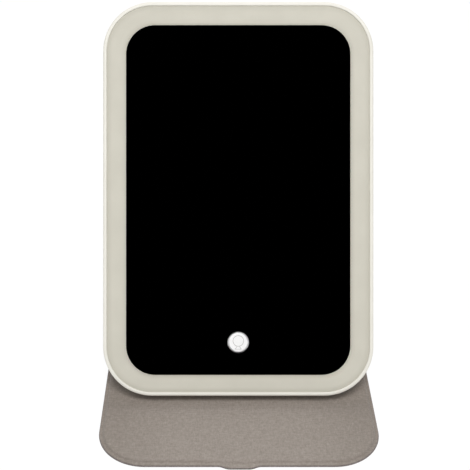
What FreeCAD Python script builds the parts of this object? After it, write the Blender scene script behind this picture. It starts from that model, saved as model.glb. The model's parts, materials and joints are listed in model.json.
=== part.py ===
import FreeCAD, Part
import math
import os

from FreeCAD import Placement, Rotation, Vector

# A lighted makeup mirror whose folding cover is also its stand. Millimetres and degrees.
# X runs to the right, the mirror faces -Y, Z is up, and the cover lies on the table at zero height.

# Mirror unit, outside
UNIT_W = 160.0
UNIT_H = 233.0
UNIT_R = 29.0
TILT = 31.0
RIM_W = 2.2
RIM_ROUND = 1.2
RIM_INNER_ROUND = 0.5
BACK_WALL = 1.6
BACK_ROUND = 1.5
BEZEL_DEPTH = 5.0
TONGUE_T = 0.7
TONGUE_H = 1.6
TONGUE_GAP = 0.1

# Light band, glass and the frame behind them
RECESS = 0.6
BAND_W = 11.3
BAND_FOOT_W = 10.1
PANE_R = 17.3
PANE_T = 2.0
PANE_GAP = 0.15
TAPE_T = 0.4
TAPE_INSET = 1.5
PLATE_T = 1.2
CHANNEL_DEPTH = 3.6
CHANNEL_WALL = 1.0
CHANNEL_FLOOR_T = 0.8
FRAME_GAP = 0.2

# Light strips in the channel
STRIP_W = 5.0
STRIP_T = 0.8
STRIP_MARGIN = 1.0
LAMP_W = 2.8
LAMP_L = 3.5
LAMP_T = 0.7
LAMP_PITCH = 12.0
JUMPER_R = 0.35

# Button and switch
BUTTON_R = 6.1
BUTTON_UP = 31.7
BUTTON_PROUD = 0.3
BUTTON_GAP = 0.25
BUTTON_ROUND = 0.5
BUTTON_TRAVEL = 0.6
FLANGE_OUT = 1.2
FLANGE_T = 0.8
FLANGE_CLEAR = 0.15
CUP_GAP = 0.4
CUP_CLEAR = 0.25
CUP_WALL = 1.0
STEM_R = 2.0
STEM_GAP = 0.15
SWITCH_SIDE = 6.0
SWITCH_H = 1.8
PLUNGER_R = 1.7
PLUNGER_IN = 0.6
PLUNGER_GAP = 0.05
PLUNGER_STOP = 0.1

# Control board and charging socket
PCB_T = 1.0
PCB_H = 24.0
PCB_LEFT = 24.0
PCB_EDGE_GAP = 0.5
POST_H = 0.8
POST_R = 2.0
SOCKET_W = 8.94
SOCKET_H = 3.2
SOCKET_L = 7.4
SOCKET_WALL = 0.3
SOCKET_END = 0.8
SOCKET_SINK = 0.8
SOCKET_GAP = 0.2
SOCKET_SET_IN = 0.3
BLADE_W = 6.7
BLADE_T = 0.7
BLADE_L = 5.0
BAY_CLEAR = 0.2
LENS_R = 1.0
LENS_GAP = 0.05
LENS_UP = 10.5
CHIP_SIDE = 6.0
CHIP_T = 1.2
CHIP_SIZE_SHARES = (1.0, 0.6, 0.8)
CHIP_PLACE_SHARES = ((0.52, 0.55), (0.63, 0.3), (0.74, 0.65))
CONNECTOR_W = 6.0
CONNECTOR_H = 4.0
CONNECTOR_T = 1.8
BATTERY_PLUG_SHARE = 0.12
LIGHT_PLUG_SHARE = 0.4
LEAD_R = 0.5
LEAD_PITCH = 2.0
LEAD_BEND = 4.0
LEAD_TURN = 1.4
LEAD_GAP = 0.2

# Battery
BATTERY_W = 70.0
BATTERY_H = 80.0
BATTERY_T = 5.0
BATTERY_RISE = 26.0
BATTERY_ROUND = 1.5
PAD_T = 0.5
PAD_INSET = 6.0
BATTERY_LEAD_SHARE = 0.3

# Screws and magnets
BOSS_R = 3.0
BOSS_IN = 12.0
BOSS_RISE = 8.0
SCREW_R = 1.0
SCREW_L = 6.0
HEAD_R = 1.9
HEAD_H = 0.9
HEAD_SINK = 0.1
HEAD_GAP = 0.2
THREAD_GAP = 0.05
TIP_ROOM = 0.5
PCB_SCREW_L = 2.4
PCB_SCREW_SHARES = (0.05, 0.86)
MAGNET_W = 20.0
MAGNET_H = 6.0
MAGNET_T = 2.0
MAGNET_CORNER_GAP = 1.0
MAGNET_GAP = 0.3

# Folding cover: skin, stiffener board and lining
SKIN_T = 0.8
STIFF_T = 1.4
LINING_T = 0.7
PRESS_W = 2.2
COVER_OVERHANG = 0.6
COVER_R = 28.0
SPINE_W = 15.0
CREASE_W = 3.0
LID_R = 2.0
LID_ROUND = 0.4
STIFF_GAP = 0.1
TAB_W = 20.0
TAB_END_W = 13.4
TAB_OUT = 2.0
TURN_W = 3.0
FOLD_DOWN = 55.0
FOLD_GAP = 0.3
FOLD_SETBACK = 3.0
FOOT_GAP = 0.5
CURL_STOP = -5.0
BACK_INSET = 3.0
HOLD_W = 120.0
HOLD_L = 112.0
HOLD_T = 0.4
HOLD_MARGIN = 15.0
DISC_R = 4.0
DISC_T = 1.2
DISC_X = 32.0
DISC_MARGIN = 8.5

OVERRUN = 1.0
JOIN_LIMIT = 0.001

# Depths behind the rim's front
PANE_BACK = RECESS + PANE_T
PLATE_FRONT = PANE_BACK + TAPE_T
PLATE_BACK = PLATE_FRONT + PLATE_T
FLOOR_FRONT = PANE_BACK + CHANNEL_DEPTH
FLOOR_BACK = FLOOR_FRONT + CHANNEL_FLOOR_T
PCB_FRONT = FLOOR_BACK + BAY_CLEAR + SOCKET_H - SOCKET_SINK
PCB_BACK = PCB_FRONT + PCB_T
REAR_INNER = PCB_BACK + POST_H
UNIT_T = REAR_INNER + BACK_WALL
FLANGE_FRONT = PANE_BACK + FLANGE_CLEAR
FLANGE_BACK = FLANGE_FRONT + FLANGE_T
CUP_FLOOR = FLANGE_BACK + BUTTON_TRAVEL + CUP_CLEAR
SWITCH_FRONT = PCB_FRONT - SWITCH_H
STEM_END = SWITCH_FRONT - BUTTON_TRAVEL - PLUNGER_STOP
SCREW_SEAT = UNIT_T - HEAD_SINK - HEAD_H
SOCKET_MID = PCB_FRONT + SOCKET_SINK - SOCKET_H / 2
LEAD_DEPTH = PCB_FRONT - CONNECTOR_T / 2

# Places on the unit's face: X across, and up from its lower edge
STRIP_INSET = RIM_W + FRAME_GAP + CHANNEL_WALL + STRIP_MARGIN + STRIP_W / 2
PCB_RIGHT = UNIT_W / 2 - RIM_W - PCB_EDGE_GAP
PCB_LOW = BUTTON_UP - PCB_H / 2
PCB_TOP = BUTTON_UP + PCB_H / 2
PCB_L = PCB_LEFT + PCB_RIGHT
SOCKET_MOUTH = UNIT_W / 2 - SOCKET_SET_IN
BATTERY_LOW = PCB_TOP + BATTERY_RISE
PANE_SIDE = UNIT_W / 2 - RIM_W - BAND_W
PANE_LOW = RIM_W + BAND_FOOT_W
PANE_TOP = UNIT_H - RIM_W - BAND_W
MAGNET_X = UNIT_W / 2 - UNIT_R - MAGNET_CORNER_GAP - MAGNET_W / 2
BOSS_ROWS = (PCB_TOP + BOSS_RISE, UNIT_H / 2, PANE_TOP - BOSS_IN)

# The cover's sizes, and the triangle of the stand: foot, crease on the back, fold at the spine
PANEL_T = SKIN_T + STIFF_T + LINING_T
NOSE_R = PANEL_T / 2
ROLL_R = NOSE_R + FOLD_GAP + SKIN_T
COVER_W = UNIT_W + 2 * COVER_OVERHANG
COVER_L = UNIT_H + COVER_OVERHANG
REACH = SPINE_W + COVER_L
SPINE_Y = (REACH + TAB_OUT - ROLL_R) / 2
FRONT_Y = SPINE_Y - REACH
CREASE_Y = FRONT_Y + COVER_L
FOLD_UP = UNIT_H - FOLD_DOWN
FOLD_DEPTH = UNIT_T + FOLD_GAP + NOSE_R
FOOT_RISE = FOLD_UP - BACK_ROUND
FOOT_BACK = FOLD_DEPTH - UNIT_T + BACK_ROUND
FOOT_TO_FOLD = math.hypot(FOOT_RISE, FOOT_BACK)
LEAN = TILT + math.degrees(math.atan2(FOOT_BACK, FOOT_RISE))
FOOT_Z = PANEL_T + FOOT_GAP + BACK_ROUND
LEG_L = FOOT_TO_FOLD + (FOOT_Z - ROLL_R) / math.cos(math.radians(LEAN))
STRIDE = (FOOT_TO_FOLD + LEG_L) * math.sin(math.radians(LEAN))
FOOT_Y = SPINE_Y - STRIDE

ACROSS = Vector(1, 0, 0)
UNIT_TURN = Rotation(ACROSS, 90 - TILT)
FOOT_ON_UNIT = Vector(0, BACK_ROUND, BACK_ROUND - UNIT_T)
UNIT_PLACE = Placement(Vector(0, FOOT_Y, FOOT_Z) - UNIT_TURN.multVec(FOOT_ON_UNIT), UNIT_TURN)
LEG_PLACE = Placement(Vector(0, SPINE_Y, ROLL_R), Rotation(ACROSS, 90 + LEAN))


def rounded_face(left, right, low, high, low_r, high_r):
    """A rectangle in the XY plane with its two lower and its two upper corners rounded."""
    corners = (
        (right - low_r, low + low_r, low_r, 270),
        (right - high_r, high - high_r, high_r, 0),
        (left + high_r, high - high_r, high_r, 90),
        (left + low_r, low + low_r, low_r, 180),
    )
    edges = []
    ends = []
    for x, y, r, start in corners:
        turn = [math.radians(start + 45 * step) for step in range(3)]
        points = [Vector(x + r * math.cos(a), y + r * math.sin(a), 0) for a in turn]
        ends.append((points[0], points[2]))
        edges.append(Part.Arc(*points).toShape() if r > 0 else None)
    loop = []
    for i, arc in enumerate(edges):
        if arc:
            loop.append(arc)
        run = (ends[i][1], ends[(i + 1) % len(ends)][0])
        if not run[0].isEqual(run[1], JOIN_LIMIT):
            loop.append(Part.makeLine(*run))
    return Part.Face(Part.Wire(loop))


def raise_face(face, low, high):
    """The face as a plate between two heights."""
    moved = face.copy()
    moved.translate(Vector(0, 0, low))
    return moved.extrude(Vector(0, 0, high - low))


def sunk(face, front, back):
    """The face as a plate between two depths behind the rim's front."""
    return raise_face(face, -back, -front)


def unit_face(inset):
    return rounded_face(inset - UNIT_W / 2, UNIT_W / 2 - inset, inset, UNIT_H - inset,
                        UNIT_R - inset, UNIT_R - inset)


def pane_face(grow):
    return rounded_face(-PANE_SIDE - grow, PANE_SIDE + grow, PANE_LOW - grow, PANE_TOP + grow,
                        PANE_R + grow, PANE_R + grow)


def block(x, y, width, height, front, back):
    """A box centred on a place of the unit's face, between two depths."""
    corner = Vector(x - width / 2, y - height / 2, -back)
    return Part.makeBox(width, height, back - front, corner)


def post(x, y, radius, front, back):
    """A round post square to the unit's face, between two depths."""
    return Part.makeCylinder(radius, back - front, Vector(x, y, -back))


def side_bar(start, end, y, depth, width, height):
    """A bar with round ends that runs along X, as wide as given up the face."""
    face = rounded_face(-width / 2, width / 2, -height / 2, height / 2, height / 2, height / 2)
    bar = face.extrude(Vector(0, 0, end - start))
    bar.Placement = Placement(Vector(start, y, -depth), Rotation(Vector(1, 1, 1), 120))
    return bar


def level_face(solid, height):
    """The largest flat face at a height."""
    def is_level(face):
        box = face.BoundBox
        return max(abs(box.ZMin - height), abs(box.ZMax - height)) < JOIN_LIMIT
    return max((f for f in solid.Faces if is_level(f)), key=lambda f: f.Area)


def inner_edges(face):
    return [e for w in face.Wires if not w.isSame(face.OuterWire) for e in w.Edges]


def lead(points, bend, radius):
    """A wire along straight runs that are joined by arcs."""
    edges = []
    start = points[0]
    for before, here, after in zip(points, points[1:], points[2:]):
        into = (here - before).normalize()
        away = (after - here).normalize()
        half_turn = into.getAngle(away) / 2
        cut = bend * math.tan(half_turn)
        first = here - into * cut
        last = here + away * cut
        middle = (away - into).normalize()
        crown = here + middle * (bend / math.cos(half_turn) - bend)
        edges.append(Part.makeLine(start, first))
        edges.append(Part.Arc(first, crown, last).toShape())
        start = last
    edges.append(Part.makeLine(start, points[-1]))
    path = Part.Wire(edges)
    ring = Part.Wire(Part.makeCircle(radius, points[0], points[1] - points[0]))
    return path.makePipeShell([ring], True, False)


def save(name, shapes, place=None):
    """Writes a sub-part, one solid or a group of separate solids, in its place on the object."""
    solids = [s for shape in shapes for s in shape.Solids]
    whole = solids[0] if len(solids) == 1 else Part.makeCompound(solids)
    if place:
        whole.Placement = place.multiply(whole.Placement)
    if not whole.isValid():
        raise ValueError(name + " is not a valid solid")
    whole.exportStep("parts/" + name + ".step")


def front_bezel():
    frame = sunk(unit_face(0), 0, BEZEL_DEPTH).cut(sunk(unit_face(RIM_W), -OVERRUN, BEZEL_DEPTH + OVERRUN))
    groove = sunk(unit_face(RIM_W - TONGUE_T - TONGUE_GAP), BEZEL_DEPTH - TONGUE_H - TONGUE_GAP,
                  BEZEL_DEPTH + OVERRUN)
    frame = frame.cut(groove)
    frame = frame.makeFillet(RIM_ROUND, level_face(frame, 0).OuterWire.Edges)
    return frame.makeFillet(RIM_INNER_ROUND, inner_edges(level_face(frame, 0)))


def light_diffuser():
    outer = sunk(unit_face(RIM_W + PANE_GAP), RECESS, PANE_BACK)
    return outer.cut(sunk(pane_face(PANE_GAP), RECESS - OVERRUN, PANE_BACK + OVERRUN))


def mirror_glass():
    hole = post(0, BUTTON_UP, BUTTON_R + BUTTON_GAP, RECESS - OVERRUN, PANE_BACK + OVERRUN)
    return sunk(pane_face(0), RECESS, PANE_BACK).cut(hole)


def mirror_tape():
    pocket = post(0, BUTTON_UP, BUTTON_R + FLANGE_OUT + CUP_GAP, PANE_BACK - OVERRUN, PLATE_FRONT + OVERRUN)
    return sunk(pane_face(-TAPE_INSET), PANE_BACK, PLATE_FRONT).cut(pocket)


def boss_places():
    side = PANE_SIDE - BOSS_IN
    return [(x, y) for y in BOSS_ROWS for x in (-side, side)]


def light_lead_places():
    middle = LIGHT_PLUG_SHARE * PCB_L - PCB_LEFT
    return (middle - LEAD_PITCH / 2, middle + LEAD_PITCH / 2)


def button_cup():
    """Round cup behind the glass that the button's flange moves in, with a bore that guides its stem."""
    pocket_r = BUTTON_R + FLANGE_OUT + CUP_GAP
    cup = post(0, BUTTON_UP, pocket_r + CUP_WALL, PLATE_FRONT, CUP_FLOOR + CUP_WALL)
    hollow = post(0, BUTTON_UP, pocket_r, PLATE_FRONT - OVERRUN, CUP_FLOOR)
    bore = post(0, BUTTON_UP, STEM_R + STEM_GAP, CUP_FLOOR - OVERRUN, CUP_FLOOR + CUP_WALL + OVERRUN)
    return cup, hollow.fuse(bore)


def inner_frame():
    """Plate that carries the glass, with the light channel round it and the screw bosses behind."""
    outer_inset = RIM_W + FRAME_GAP
    channel = sunk(unit_face(outer_inset), PANE_BACK, FLOOR_BACK)
    trough = sunk(unit_face(outer_inset + CHANNEL_WALL), PANE_BACK - OVERRUN, FLOOR_FRONT)
    island = sunk(pane_face(CHANNEL_WALL), PANE_BACK, FLOOR_BACK)
    frame = channel.cut(trough).fuse(island)
    frame = frame.cut(sunk(pane_face(0), PANE_BACK - OVERRUN, PLATE_FRONT))
    frame = frame.cut(sunk(pane_face(0), PLATE_BACK, FLOOR_BACK + OVERRUN))
    cup, hollow = button_cup()
    frame = frame.fuse(cup)
    for x, y in boss_places():
        frame = frame.fuse(post(x, y, BOSS_R, PLATE_BACK - PLATE_T / 2, REAR_INNER))
    for x, y in boss_places():
        tip = SCREW_SEAT - SCREW_L - TIP_ROOM
        frame = frame.cut(post(x, y, SCREW_R + THREAD_GAP, tip, REAR_INNER + OVERRUN))
    for x in light_lead_places():
        hole = post(x, STRIP_INSET, LEAD_R + LEAD_GAP, FLOOR_FRONT - OVERRUN, FLOOR_BACK + OVERRUN)
        frame = frame.cut(hole)
    return frame.cut(hollow).removeSplitter()


def screw(x, y, seat, length, radius, head_r, head_h, faces_front):
    """A pan-head screw, its head in front of or behind its seat."""
    if faces_front:
        return post(x, y, radius, seat, seat + length).fuse(post(x, y, head_r, seat - head_h, seat))
    return post(x, y, radius, seat - length, seat).fuse(post(x, y, head_r, seat, seat + head_h))


def pcb_screw_places():
    return [(share * PCB_L - PCB_LEFT, BUTTON_UP) for share in PCB_SCREW_SHARES]


def rear_housing():
    tray = sunk(unit_face(0), BEZEL_DEPTH, UNIT_T)
    tray = tray.makeFillet(BACK_ROUND, level_face(tray, -UNIT_T).OuterWire.Edges)
    tray = tray.fuse(sunk(unit_face(RIM_W - TONGUE_T), BEZEL_DEPTH - TONGUE_H, BEZEL_DEPTH))
    tray = tray.cut(sunk(unit_face(RIM_W), BEZEL_DEPTH - TONGUE_H - OVERRUN, REAR_INNER))
    for x, y in boss_places():
        tray = tray.cut(post(x, y, SCREW_R + HEAD_GAP, REAR_INNER - OVERRUN, UNIT_T + OVERRUN))
        tray = tray.cut(post(x, y, HEAD_R + HEAD_GAP, SCREW_SEAT, UNIT_T + OVERRUN))
    for x, y in pcb_screw_places():
        tray = tray.fuse(post(x, y, POST_R, PCB_BACK, REAR_INNER + BACK_WALL / 2))
        tray = tray.cut(post(x, y, SCREW_R + THREAD_GAP, PCB_BACK - OVERRUN, PCB_FRONT + PCB_SCREW_L))
    outside = UNIT_W / 2 + OVERRUN
    inside = UNIT_W / 2 - RIM_W - OVERRUN
    slot = side_bar(inside, outside, BUTTON_UP, SOCKET_MID, SOCKET_W + 2 * SOCKET_GAP,
                    SOCKET_H + 2 * SOCKET_GAP)
    lens_d = 2 * (LENS_R + LENS_GAP)
    lens_hole = side_bar(inside, outside, BUTTON_UP + LENS_UP, SOCKET_MID, lens_d, lens_d)
    return tray.cut(slot).cut(lens_hole)


def strip_runs():
    """Middle, width and height of the four straight light strips."""
    along = UNIT_W - 2 * UNIT_R
    up = UNIT_H - 2 * UNIT_R
    side = UNIT_W / 2 - STRIP_INSET
    return (
        (0, STRIP_INSET, along, STRIP_W),
        (0, UNIT_H - STRIP_INSET, along, STRIP_W),
        (-side, UNIT_H / 2, STRIP_W, up),
        (side, UNIT_H / 2, STRIP_W, up),
    )


def led_strips():
    return [block(*run, FLOOR_FRONT - STRIP_T, FLOOR_FRONT) for run in strip_runs()]


def led_chips():
    lamps = []
    front = FLOOR_FRONT - STRIP_T - LAMP_T
    for x, y, width, height in strip_runs():
        flat = width > height
        count = int(max(width, height) // LAMP_PITCH)
        for i in range(count):
            step = (i - (count - 1) / 2) * LAMP_PITCH
            place = (x + step, y, LAMP_L, LAMP_W) if flat else (x, y + step, LAMP_W, LAMP_L)
            lamps.append(block(*place, front, front + LAMP_T))
    return lamps


def strip_jumpers():
    """Short wires round the corners, from the end of one strip to the end of the next."""
    wires = []
    reach = UNIT_R - STRIP_INSET
    depth = FLOOR_FRONT - STRIP_T / 2
    for side in (-1, 1):
        for end, middle in ((-1, UNIT_R), (1, UNIT_H - UNIT_R)):
            centre = Vector(side * (UNIT_W / 2 - UNIT_R), middle, -depth)
            points = []
            for angle in (0, 45, 90):
                a = math.radians(angle)
                points.append(centre + Vector(side * reach * math.cos(a), end * reach * math.sin(a), 0))
            path = Part.Wire(Part.Arc(*points).toShape())
            ring = Part.Wire(Part.makeCircle(JUMPER_R, points[0], Vector(0, 1, 0)))
            wires.append(path.makePipeShell([ring], True, False))
    return wires


def connector_places():
    """The plug of the battery at the board's upper edge, and of the lights at its lower edge."""
    battery = (BATTERY_PLUG_SHARE * PCB_L - PCB_LEFT, PCB_TOP - CONNECTOR_H / 2)
    lights = (LIGHT_PLUG_SHARE * PCB_L - PCB_LEFT, PCB_LOW + CONNECTOR_H / 2)
    return battery, lights


def lead_connectors():
    return [block(x, y, CONNECTOR_W, CONNECTOR_H, PCB_FRONT - CONNECTOR_T, PCB_FRONT)
            for x, y in connector_places()]


def led_leads():
    wires = []
    for x in light_lead_places():
        points = [
            Vector(x, PCB_LOW, -LEAD_DEPTH),
            Vector(x, STRIP_INSET, -LEAD_DEPTH),
            Vector(x, STRIP_INSET, -FLOOR_FRONT),
        ]
        wires.append(lead(points, LEAD_TURN, LEAD_R))
    return wires


def battery_lead(side):
    """One battery lead: down from the cell, across, and down into its connector."""
    plug_x = connector_places()[0][0] + side * LEAD_PITCH / 2
    cell_x = BATTERY_LEAD_SHARE * BATTERY_W / 2 + side * LEAD_PITCH / 2
    third = BATTERY_RISE / 3
    points = [
        Vector(cell_x, BATTERY_LOW, -LEAD_DEPTH),
        Vector(cell_x, BATTERY_LOW - third - side * LEAD_PITCH / 2, -LEAD_DEPTH),
        Vector(plug_x, PCB_TOP + third - side * LEAD_PITCH / 2, -LEAD_DEPTH),
        Vector(plug_x, PCB_TOP, -LEAD_DEPTH),
    ]
    return lead(points, LEAD_BEND, LEAD_R)


def control_board():
    """The circuit board, which follows the housing's round corner and has a notch for the socket."""
    board = block((PCB_RIGHT - PCB_LEFT) / 2, BUTTON_UP, PCB_L, PCB_H, PCB_FRONT, PCB_BACK)
    board = board.common(sunk(unit_face(RIM_W + PCB_EDGE_GAP), PCB_FRONT, PCB_BACK))
    notch_l = PCB_RIGHT - SOCKET_MOUTH + SOCKET_L + SOCKET_GAP
    notch = block(PCB_RIGHT - notch_l / 2 + OVERRUN / 2, BUTTON_UP, notch_l + OVERRUN,
                  SOCKET_W + 2 * SOCKET_GAP, PCB_FRONT - OVERRUN, PCB_BACK + OVERRUN)
    board = board.cut(notch)
    for x, y in pcb_screw_places():
        board = board.cut(post(x, y, SCREW_R + HEAD_GAP, PCB_FRONT - OVERRUN, PCB_BACK + OVERRUN))
    return board


def board_chips():
    chips = []
    for (across, up), share in zip(CHIP_PLACE_SHARES, CHIP_SIZE_SHARES):
        side = CHIP_SIDE * share
        place = (across * PCB_L - PCB_LEFT, PCB_LOW + up * PCB_H)
        chips.append(block(*place, side, side, PCB_FRONT - CHIP_T, PCB_FRONT))
    return chips


def tact_switch():
    body = block(0, BUTTON_UP, SWITCH_SIDE, SWITCH_SIDE, SWITCH_FRONT, PCB_FRONT)
    depth = PLUNGER_IN + BUTTON_TRAVEL + PLUNGER_STOP
    return body.cut(post(0, BUTTON_UP, PLUNGER_R + PLUNGER_GAP, SWITCH_FRONT - OVERRUN, SWITCH_FRONT + depth))


def usb_socket():
    start = SOCKET_MOUTH - SOCKET_L
    shell = side_bar(start, SOCKET_MOUTH, BUTTON_UP, SOCKET_MID, SOCKET_W, SOCKET_H)
    return shell.cut(side_bar(start + SOCKET_END, SOCKET_MOUTH + OVERRUN, BUTTON_UP, SOCKET_MID,
                              SOCKET_W - 2 * SOCKET_WALL, SOCKET_H - 2 * SOCKET_WALL))


def usb_blade():
    start = SOCKET_MOUTH - SOCKET_L + SOCKET_END
    return block(start + BLADE_L / 2, BUTTON_UP, BLADE_L, BLADE_W,
                 SOCKET_MID - BLADE_T / 2, SOCKET_MID + BLADE_T / 2)


def charge_light():
    start = (UNIT_W / 2 - RIM_W + PCB_RIGHT) / 2
    return side_bar(start, UNIT_W / 2, BUTTON_UP + LENS_UP, SOCKET_MID, 2 * LENS_R, 2 * LENS_R)


def battery_cell():
    cell = block(0, BATTERY_LOW + BATTERY_H / 2, BATTERY_W, BATTERY_H, REAR_INNER - PAD_T - BATTERY_T,
                 REAR_INNER - PAD_T)
    long_edges = [e for e in cell.Edges if e.BoundBox.YLength > BATTERY_H / 2]
    return cell.makeFillet(BATTERY_ROUND, long_edges)


def battery_pad():
    return block(0, BATTERY_LOW + BATTERY_H / 2, BATTERY_W - 2 * PAD_INSET, BATTERY_H - 2 * PAD_INSET,
                 REAR_INNER - PAD_T, REAR_INNER)


def case_screws():
    return [screw(x, y, SCREW_SEAT, SCREW_L, SCREW_R, HEAD_R, HEAD_H, False) for x, y in boss_places()]


def board_screws():
    length = PCB_SCREW_L - THREAD_GAP
    return [screw(x, y, PCB_FRONT, length, SCREW_R, HEAD_R, HEAD_H, True) for x, y in pcb_screw_places()]


def unit_magnets(y):
    return [block(x, y, MAGNET_W, MAGNET_H, REAR_INNER - MAGNET_T, REAR_INNER) for x in (-MAGNET_X, MAGNET_X)]


def button_cap():
    face_depth = RECESS - BUTTON_PROUD
    cap = post(0, BUTTON_UP, BUTTON_R, face_depth, FLANGE_BACK)
    cap = cap.makeFillet(BUTTON_ROUND, level_face(cap, -face_depth).OuterWire.Edges)
    cap = cap.fuse(post(0, BUTTON_UP, BUTTON_R + FLANGE_OUT, FLANGE_FRONT, FLANGE_BACK))
    return cap.fuse(post(0, BUTTON_UP, STEM_R, FLANGE_BACK, STEM_END)).removeSplitter()


def switch_plunger():
    return post(0, BUTTON_UP, PLUNGER_R, STEM_END, SWITCH_FRONT + PLUNGER_IN)


def back_face(inset):
    """The glued panel on the unit's back, above the crease."""
    low = FOLD_UP + NOSE_R + FOLD_GAP + inset
    side = BACK_INSET + inset
    return rounded_face(side - UNIT_W / 2, UNIT_W / 2 - side, low, UNIT_H - side, 0, UNIT_R - side)


def back_skin():
    inner = UNIT_T + FOLD_GAP + LINING_T + STIFF_T
    lid = sunk(back_face(0), UNIT_T, inner + SKIN_T)
    lid = lid.makeFillet(LID_ROUND, level_face(lid, -inner - SKIN_T).OuterWire.Edges)
    return lid.cut(sunk(back_face(PRESS_W), UNIT_T - OVERRUN, inner))


def back_board():
    front = UNIT_T + FOLD_GAP + LINING_T
    return sunk(back_face(PRESS_W + STIFF_GAP), front, front + STIFF_T)


def back_tape():
    return sunk(back_face(PRESS_W + STIFF_GAP), UNIT_T, UNIT_T + FOLD_GAP + LINING_T)


def cover_face(rear, inset, rear_r):
    side = COVER_W / 2 - inset
    return rounded_face(-side, side, FRONT_Y + inset, rear, COVER_R - inset, rear_r)


def thumb_tab(low, high):
    """Small tab in the middle of the cover's front edge."""
    half = TAB_W / 2
    end = TAB_END_W / 2
    points = (
        (-half, FRONT_Y + PRESS_W),
        (-half, FRONT_Y),
        (-end, FRONT_Y - TAB_OUT),
        (end, FRONT_Y - TAB_OUT),
        (half, FRONT_Y),
        (half, FRONT_Y + PRESS_W),
        (-half, FRONT_Y + PRESS_W),
    )
    return raise_face(Part.Face(Part.makePolygon([Vector(x, y, 0) for x, y in points])), low, high)


def base_skin():
    """The skin under the cover and spine, which curls up round the leg's lower edge."""
    def at(radius, angle):
        a = math.radians(angle)
        return Vector(-COVER_W / 2, SPINE_Y + radius * math.cos(a), ROLL_R + radius * math.sin(a))
    inner_r = ROLL_R - SKIN_T
    middle = (CURL_STOP - 90) / 2
    loop = Part.Wire([
        Part.Arc(at(ROLL_R, -90), at(ROLL_R, middle), at(ROLL_R, CURL_STOP)).toShape(),
        Part.makeLine(at(ROLL_R, CURL_STOP), at(inner_r, CURL_STOP)),
        Part.Arc(at(inner_r, CURL_STOP), at(inner_r, middle), at(inner_r, -90)).toShape(),
        Part.makeLine(at(inner_r, -90), at(ROLL_R, -90)),
    ])
    curl = Part.Face(loop).extrude(Vector(COVER_W, 0, 0))
    sheet = raise_face(cover_face(SPINE_Y, 0, 0), 0, SKIN_T)
    return sheet.fuse(thumb_tab(0, SKIN_T)).fuse(curl).removeSplitter()


def lining(border, lids, cavities, floor):
    """A lining pressed to the skin round its border and raised over the stiffener boards."""
    sheet = raise_face(border, floor, floor + LINING_T)
    for face in lids:
        top = floor + STIFF_T + LINING_T
        lid = raise_face(face, floor, top)
        sheet = sheet.fuse(lid.makeFillet(LID_ROUND, level_face(lid, top).OuterWire.Edges))
    for face in cavities:
        sheet = sheet.cut(raise_face(face, floor - OVERRUN, floor + STIFF_T))
    return sheet.removeSplitter()


def spine_panel(inset):
    """The raised strip over the spine board, between the crease and the fold."""
    side = COVER_W / 2 - PRESS_W - inset
    front = CREASE_Y + CREASE_W / 2 + inset
    rear = SPINE_Y - FOLD_SETBACK - PRESS_W - inset
    return rounded_face(-side, side, front, rear, LID_R - inset, LID_R - inset)


def cover_panel(inset):
    """The raised part over the front cover's board."""
    return cover_face(CREASE_Y - CREASE_W / 2 - inset, PRESS_W + inset, LID_R - inset)


def base_lining():
    border = cover_face(SPINE_Y - FOLD_SETBACK, 0, 0)
    lids = [cover_panel(0), spine_panel(0)]
    cavities = [cover_panel(LINING_T), spine_panel(LINING_T)]
    sheet = lining(border, lids, cavities, SKIN_T)
    return sheet.fuse(thumb_tab(SKIN_T, SKIN_T + LINING_T)).removeSplitter()


def disc_places():
    return [Vector(x, FRONT_Y + DISC_MARGIN, SKIN_T + STIFF_T - DISC_T) for x in (-DISC_X, DISC_X)]


def hold_sheet():
    """Steel sheet let into the board, where the foot's magnets hold."""
    corner = Vector(-HOLD_W / 2, FRONT_Y + HOLD_MARGIN, SKIN_T + STIFF_T - HOLD_T)
    return Part.makeBox(HOLD_W, HOLD_L, HOLD_T, corner)


def base_board():
    board = raise_face(cover_panel(LINING_T + STIFF_GAP), SKIN_T, SKIN_T + STIFF_T).cut(hold_sheet())
    for place in disc_places():
        board = board.cut(Part.makeCylinder(DISC_R, DISC_T + OVERRUN, place))
    return board


def closure_magnets():
    return [Part.makeCylinder(DISC_R, DISC_T, place) for place in disc_places()]


def spine_board():
    return raise_face(spine_panel(LINING_T + STIFF_GAP), SKIN_T, SKIN_T + STIFF_T)


def leg_face(inset):
    side = COVER_W / 2 - inset
    return rounded_face(-side, side, TURN_W + STIFF_GAP, LEG_L - TURN_W - STIFF_GAP, 0, 0)


def leg_skin():
    """The leg's outer skin, turned over its two ends into round noses on the fold lines."""
    def at(along, height):
        return Vector(-COVER_W / 2, along, height)
    loop = Part.Wire([
        Part.makeLine(at(0, -NOSE_R), at(LEG_L, -NOSE_R)),
        Part.Arc(at(LEG_L, -NOSE_R), at(LEG_L + NOSE_R, 0), at(LEG_L, NOSE_R)).toShape(),
        Part.makeLine(at(LEG_L, NOSE_R), at(0, NOSE_R)),
        Part.Arc(at(0, NOSE_R), at(-NOSE_R, 0), at(0, -NOSE_R)).toShape(),
    ])
    slab = Part.Face(loop).extrude(Vector(COVER_W, 0, 0))
    room = rounded_face(-COVER_W, COVER_W, TURN_W, LEG_L - TURN_W, 0, 0)
    return slab.cut(raise_face(room, SKIN_T - NOSE_R, NOSE_R + OVERRUN))


def leg_lining():
    return lining(leg_face(0), [leg_face(PRESS_W)], [leg_room(0)], SKIN_T - NOSE_R)


def leg_room(inset):
    """The leg board's room inside its lining, open at the two turned ends."""
    side = COVER_W / 2 - PRESS_W - LINING_T - inset
    return rounded_face(-side, side, TURN_W + STIFF_GAP + inset, LEG_L - TURN_W - STIFF_GAP - inset, 0, 0)


def leg_board():
    return raise_face(leg_room(STIFF_GAP), SKIN_T - NOSE_R, SKIN_T - NOSE_R + STIFF_T)


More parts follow.
